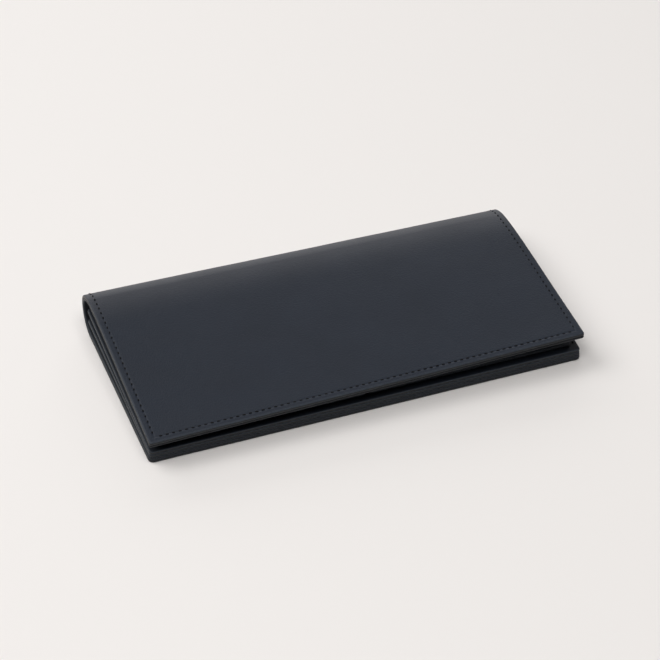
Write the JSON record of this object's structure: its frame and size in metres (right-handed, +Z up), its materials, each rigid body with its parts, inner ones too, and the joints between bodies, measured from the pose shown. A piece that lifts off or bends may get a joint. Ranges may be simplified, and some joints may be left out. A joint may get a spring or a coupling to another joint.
{
  "type": "long wallet",
  "caption": "Long leather wallet with a round folded spine, card pockets and a zipped coin purse under a stitched cover.",
  "frame": {"origin": "centre of the closed wallet's footprint, on its underside", "axes": "+X along the spine, +Y from the opening edge to the spine, +Z up through the closed cover"},
  "size_m": [0.19, 0.097, 0.0204],
  "materials": {
    "outer_leather": "waxed, semi-matte",
    "lining_leather": "matte",
    "panel_leather": "satin",
    "thread": "waxed",
    "zip_tape": "woven",
    "zip_metal": "satin"
  },
  "bodies": {
    "back": {"back_leather": "outer_leather", "back_lining": "lining_leather", "back_stitches": "thread", "gusset_left": "lining_leather", "gusset_right": "lining_leather"},
    "spine_link_1": {"spine_leather_1": "outer_leather", "spine_lining_1": "lining_leather"},
    "spine_link_2": {"spine_leather_2": "outer_leather", "spine_lining_2": "lining_leather"},
    "cover": {"cover_leather": "outer_leather", "cover_lining": "lining_leather", "cover_stitches": "thread", "cover_pocket_left_1": "panel_leather", "cover_pocket_left_2": "panel_leather", "cover_pocket_left_3": "panel_leather", "cover_pocket_left_4": "panel_leather", "cover_pocket_right_1": "panel_leather", "cover_pocket_right_2": "panel_leather", "cover_pocket_right_3": "panel_leather", "cover_pocket_right_4": "panel_leather"},
    "purse": {"purse_lower_wall": "panel_leather", "purse_upper_wall": "panel_leather", "purse_side_left": "lining_leather", "purse_side_right": "lining_leather", "purse_pocket_left_1": "panel_leather", "purse_pocket_left_2": "panel_leather", "purse_pocket_left_3": "panel_leather", "purse_pocket_right_1": "panel_leather", "purse_pocket_right_2": "panel_leather", "purse_pocket_right_3": "panel_leather", "purse_stitches": "thread", "zip_tape_lower": "zip_tape", "zip_tape_upper": "zip_tape", "zip_teeth_lower": "zip_metal", "zip_teeth_upper": "zip_metal", "zip_stop_left": "zip_metal", "zip_stop_right": "zip_metal"},
    "slider": {"zip_slider": "zip_metal"},
    "pull": {"zip_pull": "zip_metal"}
  },
  "joints": [
    {"name": "fold_1", "type": "hinge", "parent": "back", "child": "spine_link_1", "pos_m": [0, 0.04348, 0.00141], "axis": [-1, 0, 0], "range_deg": [0, 61]},
    {"name": "fold_2", "type": "hinge", "parent": "spine_link_1", "child": "spine_link_2", "pos_m": [0, 0.0485, 0.01047], "axis": [-1, 0, 0], "range_deg": [0, 61]},
    {"name": "fold_3", "type": "hinge", "parent": "spine_link_2", "child": "cover", "pos_m": [0, 0.04301, 0.01925], "axis": [-1, 0, 0], "range_deg": [0, 61]},
    {"name": "purse_lift", "type": "hinge", "parent": "back", "child": "purse", "pos_m": [0, -0.0467, 0.00285], "axis": [1, 0, 0], "range_deg": [0, 11.59]},
    {"name": "zip_travel", "type": "slide", "parent": "purse", "child": "slider", "axis": [-1, 0, 0], "range_m": [0, 0.1634], "deforming": ["gusset_left", "gusset_right"]},
    {"name": "pull_swing", "type": "hinge", "parent": "slider", "child": "pull", "pos_m": [0.0817, 0.04075, 0.00925], "axis": [0, 0, -1], "range_deg": [0, 12]}
  ],
  "couplings": [
    {"joint": "fold_2", "follows": "fold_1", "ratio": 1},
    {"joint": "fold_3", "follows": "fold_1", "ratio": 1},
    {"joint": "purse_lift", "follows": "fold_1", "ratio": 0.19}
  ]
}
